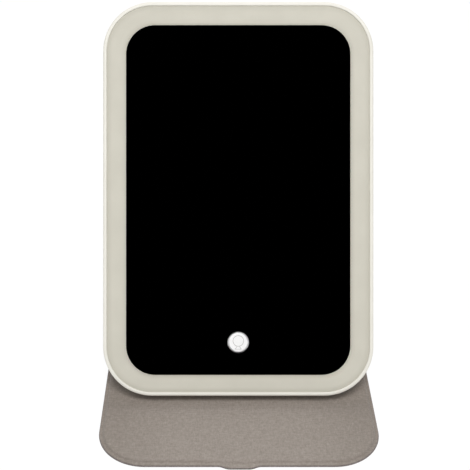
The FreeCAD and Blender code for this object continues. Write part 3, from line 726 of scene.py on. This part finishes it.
def pane():
    """The mirror, with polished bevels at its edge and round the button's hole."""
    hole_r = BUTTON_R + BUTTON_GAP
    edge = [pane_loop(0, PANE_BACK), pane_loop(0, RECESS + PANE_BEVEL), pane_loop(-PANE_BEVEL, RECESS)]
    bore = ((hole_r, PANE_BACK), (hole_r, RECESS + HOLE_BEVEL), (hole_r + HOLE_BEVEL, RECESS))
    hole = [circle(0, BUTTON_UP, r, d, ROUND_STEPS) for r, d in bore]
    finishes = [MIRROR, GLASS_EDGE, BLACK]
    bm = bmesh.new()
    back, front = [], []
    for finish, loops in ((GLASS_EDGE, edge), (BLACK, hole)):
        rows = [row_of(bm, loop) for loop in loops]
        for first, second in zip(rows, rows[1:]):
            for face in join(bm, first, second):
                face.material_index = finishes.index(finish)
        back.append(rows[0])
        front.append(rows[-1])
    fill_between(bm, back)
    fill_between(bm, front)
    piece("mirror_pane", bm, "mirror_unit", finishes, UNIT, ["mirror_glass"], SHARP_PANE)


def button():
    """The round cap: a faintly dished face, a rolled edge, the flange behind the glass and the stem."""
    side_r = BUTTON_R - CAP_INSET
    flat_r = side_r - CAP_ROUND_W
    flange_r = BUTTON_R + FLANGE_OUT
    profile = [(flat_r * s, BUTTON_FACE + DISH_DEPTH * (1 - s * s)) for s in DISH_SHARES]
    for a in quarter(CAP_STEPS)[1:]:
        profile.append((flat_r + CAP_ROUND_W * math.sin(a), BUTTON_FACE + CAP_ROUND_H * (1 - math.cos(a))))
    profile += [(side_r, FLANGE_FRONT), (flange_r, FLANGE_FRONT), (flange_r, FLANGE_BACK)]
    profile += [(STEM_R, FLANGE_BACK), (STEM_R, STEM_END)]
    bm = loft([circle(0, BUTTON_UP, r, d, ROUND_STEPS) for r, d in profile])
    piece("button_face", bm, "power_button", [BUTTON_WHITE], UNIT, ["button_cap"])


def button_mark():
    """The sign printed on the cap, a plain standing mirror: a ring, two struts and a foot."""
    front, back = BUTTON_FACE - MARK_PROUD, BUTTON_FACE + MARK_SINK
    outer_r = MARK_R + MARK_LINE_W
    section = ((MARK_R, back), (MARK_R, front), (outer_r, front), (outer_r, back))
    bm = loft([circle(0, BUTTON_UP + MARK_UP, r, d, ROUND_STEPS) for r, d in section], ring=True)
    right = [Vector(p) for p in (STRUT_TOP, STRUT_FOOT, FOOT_END)]
    left = [Vector((-p.x, p.y)) for p in right]
    bars = ((left[0], left[1]), (right[0], right[1]), (left[2], right[2]))
    for start, end in bars:
        across = (end - start).orthogonal().normalized() * BAR_HALF_W
        base = [start - across, start + across, end + across, end - across]
        low, top = (row_of(bm, [(x, BUTTON_UP + y, -depth) for x, y in base]) for depth in (back, front))
        join(bm, low, top)
        bm.faces.new(low)
        bm.faces.new(top)
    piece("button_mark", bm, "power_button", [PRINT_GREY], UNIT)


def screws():
    """Six case screws with rounded heads and a cross recess."""
    tip, rim, side = SCREW_SEAT - SCREW_L, SCREW_SEAT + HEAD_H, SCREW_SEAT + HEAD_SIDE_H
    tip_slope, head_slope = SCREW_R - TIP_R, HEAD_R - HEAD_FLAT_R
    profile = []
    for a in quarter(LIP_STEPS):
        profile.append((TIP_R + tip_slope * math.sin(a), tip + TIP_H * (1 - math.cos(a))))
    profile += [(SCREW_R, SCREW_SEAT), (HEAD_R, SCREW_SEAT)]
    for a in quarter(EASE_STEPS):
        profile.append((HEAD_FLAT_R + head_slope * math.cos(a), side + (rim - side) * math.sin(a)))
    arm = [Vector((CROSS_HALF_W, CROSS_REACH)), Vector((-CROSS_HALF_W, CROSS_REACH)),
           Vector((-CROSS_HALF_W, CROSS_HALF_W))]
    places = [Vector((x, y)) for y in SCREW_ROWS for x in (-SCREW_X, SCREW_X)]
    bm = bmesh.new()
    for count, place in enumerate(places):
        rows = [row_of(bm, circle(*place, r, d, SCREW_STEPS)) for r, d in profile]
        for first, second in zip(rows, rows[1:]):
            join(bm, first, second)
        bm.faces.new(rows[0])
        turns = [Matrix.Rotation(count * SCREW_TURN_RADIANS + math.pi / 2 * i, 2) for i in range(4)]
        cross = [place + turn @ corner for turn in turns for corner in arm]
        top, low = (row_of(bm, at_height(cross, -depth)) for depth in (rim, side))
        join(bm, low, top)
        bm.faces.new(low)
        fill_between(bm, [rows[-1], top])
    piece("screw_heads", bm, "mirror_unit", [STEEL], UNIT, ["case_screws"])


# Folding cover

def pressed(away, depth=LINE_DEPTH):
    """How deep the skin is pressed at a distance from the middle of a pressed line."""
    return depth * (1 - smooth(abs(away) / LINE_HALF_W))


def ripple(x, y, layer):
    """Slight unevenness of a glued sheet."""
    return RIPPLE * noise.noise(Vector((x * RIPPLE_RATE, y * RIPPLE_RATE, layer)))


def back_panel():
    """The glued upper panel on the back, leather turned over its board, with a line pressed round it."""
    inside, wave, wave_rate, nearly = 2.1, 0.05, 40, 0.01
    section = [(0.0, UNIT_T)]
    for a in quarter(EASE_STEPS):
        fall = BACK_EDGE_ROUND * (1 - math.sin(a))
        section.append((BACK_EDGE_ROUND * (1 - math.cos(a)), BACK_FACE - fall))
    section += [(LINE_IN + away, BACK_FACE - pressed(away)) for away in LINE_PLACES]
    section.append((LINE_IN + inside, BACK_FACE))

    def loop(inset, depth):
        edge = BACK_INSET + inset
        points = outline(UNIT_W / 2 - edge, BACK_LOW + inset, UNIT_H - edge, 0, UNIT_R - edge)
        return at_height(points, -depth)
    bm = loft([loop(i, d) for i, d in section])
    margin = LINE_IN + inside
    half = UNIT_W / 2 - BACK_INSET - margin
    cut_across(bm, 0, steps_between(-half, half, PANEL_STEP))
    cut_across(bm, 1, steps_between(BACK_LOW + margin, UNIT_H - BACK_INSET - margin, PANEL_STEP))
    for v in bm.verts:
        if v.co.z < (nearly - BACK_FACE) * MM:
            v.co.z += wave * MM * (1 + noise.noise(v.co * wave_rate))
    made = piece("back_leather", bm, "mirror_unit", [SKIN], UNIT, ["back_skin"])


def tab(x):
    """How far the thumb tab stands out at a place along the front edge."""
    return TAB_OUT * smooth((TAB_FOOT_HALF - abs(x)) / TAB_SLOPE_W)


def cover_loop(inset, rear, z):
    """The cover's outline. The tab fades away inside the border."""
    reach = 1 - smooth((inset - TAB_FADE_IN) / TAB_FADE_W)
    low = FRONT_Y + inset
    places = steps_between(-TAB_FOOT_HALF, TAB_FOOT_HALF, TAB_STEP)
    points = [(x, low - tab(x) * reach) for x in places]
    return at_height(outline(COVER_W / 2 - inset, low, rear, COVER_R - inset, 0, points), z)


def cover_leather():
    """The skin under the front cover and the spine, with a rounded cut edge and a line pressed round it. Its
    rear end slants a little, so that no face there is without area."""
    rear = SPINE_Y - SPINE_LAP
    section = [(LINE_IN - away, pressed(away, COVER_LINE_DEPTH)) for away in LINE_PLACES]
    section += cut_edge(0.0, 0.0, SKIN_T, SKIN_EDGE_ROUND, SKIN_EDGE_ROUND)
    bm = loft([cover_loop(i, rear - i * REAR_SLANT, z) for i, z in section])
    made = piece("cover_leather", bm, "front_cover", [SKIN], None, ["base_skin"])
    flat = [p[:2] for p in cover_loop(0, SPINE_Y, 0)]
    area_of(flat)


def cloth_section():
    """Points of inset and height over the skin across a glued lining's edge."""
    section = cut_edge(CLOTH_IN, 0.0, LINING_T, CLOTH_LOW_ROUND, CLOTH_TOP_ROUND)
    for inset in CLOTH_PLACES:
        dip = CLOTH_DIP * (1 - smooth(abs(inset - CLOTH_DIP_IN) / CLOTH_DIP_HALF_W))
        past = max(inset - CLOTH_STEP_IN, 0.0) ** 3
        rise = STIFF_T * past / (past + CLOTH_STEP_HALF_W ** 3)
        section.append((inset, LINING_T - dip + rise))
    return section


def cover_cloth():
    """The woven lining: pressed to the skin round its border, raised over the boards, sunk at the crease."""
    end = SPINE_Y - FOLD_SETBACK
    margin, valley_reach, layer, nearly_none = 8.6, 4.0, 3.0, 0.001
    bm = loft([cover_loop(i, end - i, SKIN_T + h) for i, h in cloth_section()])
    cut_across(bm, 0, steps_between(margin - COVER_W / 2, COVER_W / 2 - margin, PANEL_STEP))
    cut_across(bm, 1, steps_between(FRONT_Y + margin, CREASE_Y - margin, PANEL_STEP))
    cut_across(bm, 1, steps_between(CREASE_Y - valley_reach, CREASE_Y + valley_reach, VALLEY_STEP))
    for v in bm.verts:
        x, y, z = v.co / MM
        raised = (z - BORDER_Z) / STIFF_T
        if raised > nearly_none:
            valley = smooth((abs(y - CREASE_Y) - VALLEY_FLAT) / VALLEY_W)
            lift = raised * STIFF_T + ripple(x, y, layer) * smooth(raised)
            v.co.z = (BORDER_Z + lift * valley) * MM
    made = piece("cover_cloth", bm, "front_cover", [LINING], None, ["base_lining"],
                 SHARP_SOFT)
    flat = [p[:2] for p in cover_loop(0, end, 0)]
    area_of(flat)


def leg_line(x, along):
    """How deep the line pressed round the leg's outer face is at a place."""
    out_x = abs(x) - COVER_W / 2 + LINE_IN + LINE_R
    out_along = abs(along - LEG_L / 2) - LEG_L / 2 + LINE_END_IN + LINE_R
    away = min(max(out_x, out_along), 0) + math.hypot(max(out_x, 0), max(out_along, 0)) - LINE_R
    return pressed(away)


def across_cover(edge, step):
    """Rows of X and a value across the cover. An edge's rows are of inset and value, and its last value holds
    between the two edges."""
    half = COVER_W / 2
    inset, value = edge[-1]
    rows = [(i - half, v) for i, v in edge]
    rows += [(x, value) for x in steps_between(inset + step - half, half - inset - step, step)]
    return rows + [(half - i, v) for i, v in reversed(edge)]


def leg_leather():
    """The leg's outer skin, turned over both ends into round noses on the fold lines."""
    inner, middle = SKIN_T - NOSE_R, SKIN_T / 2 - NOSE_R
    before, after, bevel = 1.5, 6.5, 0.1
    ends = list(LEG_END_PLACES) + steps_between(LINE_END_IN - before, LINE_END_IN + after, FINE_STEP)
    start = ends[-1] + LEG_STEP
    section = [(a, -NOSE_R) for a in ends]
    section += [(a, -NOSE_R) for a in steps_between(start, LEG_L - start, LEG_STEP)]
    section += [(LEG_L - a, -NOSE_R) for a in reversed(ends)]
    turn = [math.pi * i / NOSE_STEPS for i in range(1, NOSE_STEPS + 1)]
    section += [(LEG_L + NOSE_R * math.sin(a), -NOSE_R * math.cos(a)) for a in turn]
    hem = [(TURN_W - bevel, NOSE_R), (TURN_W, NOSE_R - bevel), (TURN_W, inner)]
    section += [(LEG_L - a, h) for a, h in hem] + hem[::-1]
    section += [(-NOSE_R * math.sin(a), -NOSE_R * math.cos(a)) for a in reversed(turn)]
    edge = list(LEG_EDGE)
    edge += [(i, 1.0) for i in steps_between(LINE_IN - before, LINE_IN + after, FINE_STEP)]
    loops = []
    for x, shrink in across_cover(edge, LEG_STEP):
        loop = []
        for a, h in section:
            press = leg_line(x, a) if h == -NOSE_R else 0.0
            loop.append((x, a, middle + (h - middle) * shrink + press))
        loops.append(loop)
    bm = loft(loops, thin=True)
    made = piece("leg_leather", bm, "stand_leg", [SKIN], LEG, ["leg_skin"], SHARP_LEG)


def leg_cloth():
    """The leg's woven lining, pressed down along its two long edges."""
    under = SKIN_T - NOSE_R
    gap, layer = 0.1, 9.0
    start, end = TURN_W + gap, LEG_L - TURN_W - gap
    across = across_cover(cloth_section(), PANEL_STEP)
    loops = []
    for a in steps_between(start, end, PANEL_STEP):
        loops.append([(x, a, under + h + ripple(x, a, layer) * smooth(h - LINING_T)) for x, h in across])
    bm = loft(loops)
    made = piece("leg_cloth", bm, "stand_leg", [LINING], LEG, ["leg_lining"], SHARP_SOFT)


def feathered(full, thin, place):
    """Thickness of the skin across a fold where it thins out along its lap."""
    return thin + (full - thin) * (1 - smooth(place / LEG_LAP))


def fold_strip(name, line):
    """Leather across a fold. The line holds a point, its outward normal, how far the skin reaches out and in,
    and its half width there."""
    loops = []
    for x, thick in across_cover(FOLD_EDGE, LEG_STEP):
        outer, inner = [], []
        for point, normal, out, sink, half in line:
            middle = point + normal * (out - sink) / 2 + Vector((x * 2 * half / COVER_W, 0, 0))
            reach = normal * (out + sink) / 2 * thick
            outer.append(middle + reach)
            inner.append(middle - reach)
        loops.append(outer + inner[::-1])
    made = piece(name, loft(loops, thin=True), None, [SKIN], sharp=SHARP_SOFT)
    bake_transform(made)


def spine_fold():
    """The skin round the spine's fold, from under the cover to the leg's outer face."""
    half = COVER_W / 2
    line = []
    for y in steps_between(SPINE_Y - SPINE_LAP, SPINE_Y, SPINE_STEP):
        line.append((Vector((0, y, SKIN_T / 2)), Vector((0, 0, -1)), SKIN_T / 2, SKIN_T / 2, half))
    for i in range(1, ROLL_STEPS + 1):
        share = i / ROLL_STEPS
        a = -math.pi / 2 + share * LEG_ANGLE
        normal = Vector((0, math.cos(a), math.sin(a)))
        outer = ROLL_R + (NOSE_R + SPINE_FOLD_T - ROLL_R) * smooth(share)
        inner = ROLL_R - SKIN_T + (NOSE_R + SPINE_NOSE_GAP - ROLL_R + SKIN_T) * smooth(share)
        thick = outer - inner
        line.append((SPINE + normal * (outer + inner) / 2, normal, thick / 2, thick / 2, half))
    nose = SPINE + LEG_OUT * NOSE_R
    for up in NOSE_PLACES + LAP_PLACES:
        lift = feathered(SPINE_FOLD_T, SPINE_FEATHER_T, up)
        line.append((nose + UP_LEG * up, LEG_OUT, lift, LAP_SINK, half - LEG_LAP_INSET))
    fold_strip("spine_fold", line)


def crease_fold():
    """The skin in the crease between the panel on the back and the leg."""
    back_half, leg_half = UNIT_W / 2 - BACK_INSET - BACK_LAP_INSET, COVER_W / 2 - LEG_LAP_INSET
    middle_out = (INWARD + LEG_OUT).normalized()
    corner = CREASE + middle_out * NOSE_R / middle_out.dot(LEG_OUT)
    places = CREASE_PLACES + LAP_PLACES
    lifts = [feathered(CREASE_FOLD_T, CREASE_FEATHER_T, p) for p in places]
    upper = [(corner + UP_FACE * p, INWARD, lift, LAP_SINK, back_half) for p, lift in zip(places, lifts)]
    lower = [(corner - UP_LEG * p, LEG_OUT, lift, LAP_SINK, leg_half) for p, lift in zip(places, lifts)]
    first, last = corner + UP_FACE * CREASE_BEND, corner - UP_LEG * CREASE_BEND
    bend = []
    for i in range(BEND_STEPS + 1):
        t = i / BEND_STEPS
        point = first * (1 - t) ** 2 + corner * 2 * t * (1 - t) + last * t ** 2
        normal = (INWARD * (1 - t) + LEG_OUT * t).normalized()
        side = back_half + (leg_half - back_half) * smooth(t)
        bend.append((point, normal, CREASE_FOLD_T, CREASE_SINK, side))
    fold_strip("crease_fold", upper[::-1] + bend + lower)


# Stage, in metres. The camera's lengths and FLAG_OUT are in millimetres.

CAMERA_IN_UNIT = (-12.5, 95.18, 590.98)
CAMERA_LENS = 76.6
CAMERA_SENSOR = 36.0
CAMERA_SHIFT = 0.038
SKY_LEVEL = 0.33
LAMP_SIZE = 0.8
KEY_PLACE = (0.05, -1.15, 1.9)
KEY_AIM = (0, -0.02, 0.1)
KEY_POWER = 28.5
KEY_COLOUR = (1.0, 0.99, 0.97)
BACK_PLACE = (0.0, 1.0, 1.55)
BACK_AIM = (0, 0.08, 0.1)
BACK_POWER = 8.0
BACK_COLOUR = (1.0, 0.99, 0.98)
TABLE_SIZE = 12.0
TABLE_DROP = 0.0002
FLAG_SIZE = 1.6
FLAG_OUT = 750.0
ROOM_R = 5.0


def lamp(name, place, aim, power, colour):
    data = bpy.data.lights.new(name, "AREA")
    data.shape = "DISK"
    data.size = LAMP_SIZE
    data.energy = power
    data.color = colour
    made = bpy.data.objects.new(name, data)
    made.location = place
    made.rotation_euler = (Vector(aim) - Vector(place)).to_track_quat("-Z", "Y").to_euler()
    bpy.context.scene.collection.objects.link(made)


def seen_directly(tree):
    """One for rays from the camera, a mirror or clear glass, and nought for others."""
    path = tree.nodes.new("ShaderNodeLightPath")
    both = blend_math(tree, "ADD", path.outputs["Is Camera Ray"], path.outputs["Is Glossy Ray"])
    return blend_math(tree, "ADD", both, path.outputs["Is Transmission Ray"], clamp=True)


def sky():
    """World light, which rays that see it directly find white."""
    world = bpy.data.worlds.new("studio")
    world.use_nodes = True
    bpy.context.scene.world = world
    tree = world.node_tree
    back = tree.nodes["Background"]
    back.inputs["Color"].default_value = (1, 1, 1, 1)
    level = number_between(tree, seen_directly(tree), SKY_LEVEL, 1.0, 0.0, 1.0)
    tree.links.new(level, back.inputs["Strength"])


def stage_piece(name, bm, finish, place):
    data = bpy.data.meshes.new(name)
    bm.to_mesh(data)
    bm.free()
    data.materials.append(finish)
    made = bpy.data.objects.new(name, data)
    made.matrix_world = place
    bpy.context.scene.collection.objects.link(made)
    return made


def square(size):
    bm = bmesh.new()
    bmesh.ops.create_grid(bm, x_segments=1, y_segments=1, size=size / 2)
    return bm


def mix_surfaces(tree, factor, first, second):
    mix = tree.nodes.new("ShaderNodeMixShader")
    tree.links.new(factor, mix.inputs["Fac"])
    tree.links.new(first, mix.inputs[1])
    tree.links.new(second, mix.inputs[2])
    tree.links.new(mix.outputs["Shader"], tree.nodes["Material Output"].inputs["Surface"])


def table():
    """White table that glows a little to the camera and still takes the object's shadow."""
    cloud_size, glow_level, glow_share = 60, 1.04, 0.9
    made, tree, shader = new_material("table", Roughness=0.9, Specular_IOR_Level=0.0)
    white = colour_between(tree, speckle(tree, cloud_size), (0.93, 0.93, 0.93, 1), (0.94, 0.94, 0.94, 1))
    tree.links.new(white, shader.inputs["Base Color"])
    glow = tree.nodes.new("ShaderNodeEmission")
    glow.inputs["Strength"].default_value = glow_level
    share = blend_math(tree, "MULTIPLY", seen_directly(tree), glow_share)
    mix_surfaces(tree, share, shader.outputs["BSDF"], glow.outputs["Emission"])
    stage_piece("table", square(TABLE_SIZE), made, Matrix.Translation((0, 0, -TABLE_DROP)))


def only_mirrored(made):
    made.visible_camera = False
    made.visible_diffuse = False
    made.visible_shadow = False
    made.visible_transmission = False
    made.visible_volume_scatter = False


def flag():
    """Black card round the camera that only the mirror and glossy surfaces see, soft at its edges."""
    reach, sharpness = 2 / FLAG_SIZE, 8.0
    made, tree, shader = new_material("flag", Base_Color=(0, 0, 0, 1), Specular_IOR_Level=0.0, Roughness=1.0)
    disc = tree.nodes.new("ShaderNodeTexGradient")
    disc.gradient_type = "QUADRATIC_SPHERE"
    tree.links.new(object_coords(tree, (reach, reach, reach)), disc.inputs["Vector"])
    clear = tree.nodes.new("ShaderNodeBsdfTransparent")
    cover = blend_math(tree, "MULTIPLY", disc.outputs["Fac"], sharpness, clamp=True)
    mix_surfaces(tree, cover, clear.outputs["BSDF"], shader.outputs["BSDF"])
    middle = Vector((0, UNIT_H / 2, FLAG_OUT))
    only_mirrored(stage_piece("flag", square(FLAG_SIZE), made, UNIT @ Matrix.Translation(middle * MM)))


def room():
    """Grey dome that only the mirror and glossy surfaces see, pale at the horizon and darker above."""
    scale, fade_power = 1 / ROOM_R, 0.6
    pale_end, dark_end = 0.05, 0.9
    pale, dark = (0.74, 0.75, 0.76, 1), (0.26, 0.27, 0.28, 1)
    made, tree, shader = new_material("room")
    place = tree.nodes.new("ShaderNodeSeparateXYZ")
    tree.links.new(object_coords(tree, (scale, scale, scale)), place.inputs["Vector"])
    height = blend_math(tree, "MAXIMUM", place.outputs["Z"], 0.0)
    fade = blend_math(tree, "POWER", height, fade_power)
    glow = tree.nodes.new("ShaderNodeEmission")
    tree.links.new(colour_between(tree, fade, pale, dark, pale_end, dark_end), glow.inputs["Color"])
    tree.links.new(glow.outputs["Emission"], tree.nodes["Material Output"].inputs["Surface"])
    bm = bmesh.new()
    bmesh.ops.create_icosphere(bm, subdivisions=4, radius=ROOM_R)
    only_mirrored(stage_piece("room", bm, made, Matrix()))


def camera():
    """Stands square to the mirror's face."""
    data = bpy.data.cameras.new("camera")
    data.lens = CAMERA_LENS
    data.sensor_width = CAMERA_SENSOR
    data.shift_x = CAMERA_SHIFT
    made = bpy.data.objects.new("camera", data)
    made.matrix_world = UNIT @ Matrix.Translation(Vector(CAMERA_IN_UNIT) * MM)
    bpy.context.scene.collection.objects.link(made)
    bpy.context.scene.camera = made


def finish_nodes():
    """Gives every CAD node the material of its slot in the record."""
    for part in frame["record"]["subparts"]:
        data = frame["nodes"][part["node"]].data
        data.materials.clear()
        data.materials.append(SLOT_MATERIALS[part["material_slot"]])


def main():
    bpy.context.scene.view_settings.view_transform = "Standard"
    finish_nodes()
    bezel()
    band()
    pane()
    button()
    button_mark()
    screws()
    back_panel()
    cover_leather()
    cover_cloth()
    leg_leather()
    leg_cloth()
    spine_fold()
    crease_fold()
    table()
    flag()
    room()
    sky()
    lamp("key", KEY_PLACE, KEY_AIM, KEY_POWER, KEY_COLOUR)
    lamp("back", BACK_PLACE, BACK_AIM, BACK_POWER, BACK_COLOUR)
    camera()


main()
